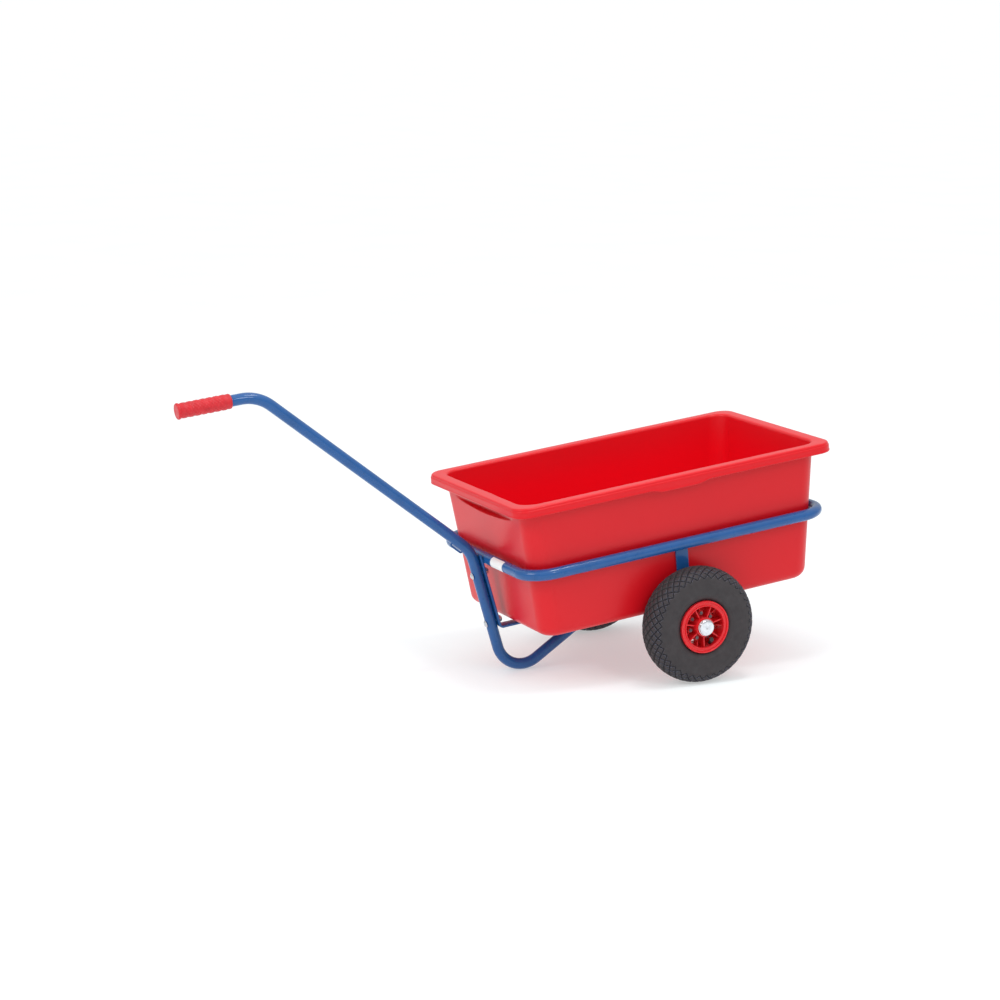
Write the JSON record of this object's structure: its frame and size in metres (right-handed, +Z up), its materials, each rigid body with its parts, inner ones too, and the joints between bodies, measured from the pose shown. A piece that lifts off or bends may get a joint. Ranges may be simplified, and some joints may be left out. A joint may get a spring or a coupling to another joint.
{
  "type": "two-wheeled tub hand cart",
  "caption": "Two-wheeled hand cart: a red moulded tub in a blue tube ring, with a bent drawbar that is both pull handle and rear foot, and air tyres on red rims.",
  "frame": {"origin": "on the ground, in the middle of the cart's length and width, with the cart parked on its wheels and its foot", "axes": "+X to the front of the tub, away from the handle; +Y to the cart's left; +Z up"},
  "size_m": [1.46, 0.611, 0.6727],
  "materials": {
    "tub_plastic": "moulded polyethylene, semi-gloss red",
    "blue_paint": "powder-coated steel, semi-gloss blue",
    "black_plastic": "matt black moulding",
    "grip_vinyl": "soft red vinyl, semi-gloss",
    "zinc": "zinc-plated steel",
    "cap_metal": "bright zinc-plated pressing",
    "tyre": "dark grey tyre rubber with diamond tread",
    "tube_rubber": "butyl inner tube",
    "rim_plastic": "moulded red plastic, semi-gloss",
    "bush_plastic": "natural nylon plain bearing",
    "valve_rubber": "black rubber valve"
  },
  "bodies": {
    "cart_frame": {"frame_ring": "blue_paint", "long_strap": "blue_paint", "cross_strap": "blue_paint", "drawbar": "blue_paint", "drawbar_end_plug": "black_plastic", "hand_grip": "grip_vinyl", "wire_eye": "blue_paint", "leg_bolts": "zinc", "leg_washers": "zinc", "leg_nuts": "zinc", "run_bolts": "zinc", "run_washers": "zinc", "run_nuts": "zinc", "axle": "zinc", "axle_collars": "zinc", "axle_washers": "zinc", "hub_caps": "cap_metal"},
    "tub": {"tub": "tub_plastic"},
    "left_wheel": {"left_tyre": "tyre", "left_inner_tube": "tube_rubber", "left_rim_outer": "rim_plastic", "left_rim_inner": "rim_plastic", "left_hub_bushes": "bush_plastic", "left_rim_screws": "zinc", "left_valve_stem": "valve_rubber", "left_valve_cap": "valve_rubber"},
    "right_wheel": {"right_tyre": "tyre", "right_inner_tube": "tube_rubber", "right_rim_outer": "rim_plastic", "right_rim_inner": "rim_plastic", "right_hub_bushes": "bush_plastic", "right_rim_screws": "zinc", "right_valve_stem": "valve_rubber", "right_valve_cap": "valve_rubber"}
  },
  "joints": [
    {"name": "left_wheel_spin", "type": "hinge", "parent": "cart_frame", "child": "left_wheel", "pos_m": [0.37523, 0.26073, 0.13], "axis": [0, 1, 0], "continuous": true},
    {"name": "right_wheel_spin", "type": "hinge", "parent": "cart_frame", "child": "right_wheel", "pos_m": [0.37523, -0.26073, 0.13], "axis": [0, 1, 0], "continuous": true},
    {"name": "tub_lift", "type": "slide", "parent": "cart_frame", "child": "tub", "axis": [-0.1167, 0, 0.9932], "range_m": [0, 0.2]}
  ]
}
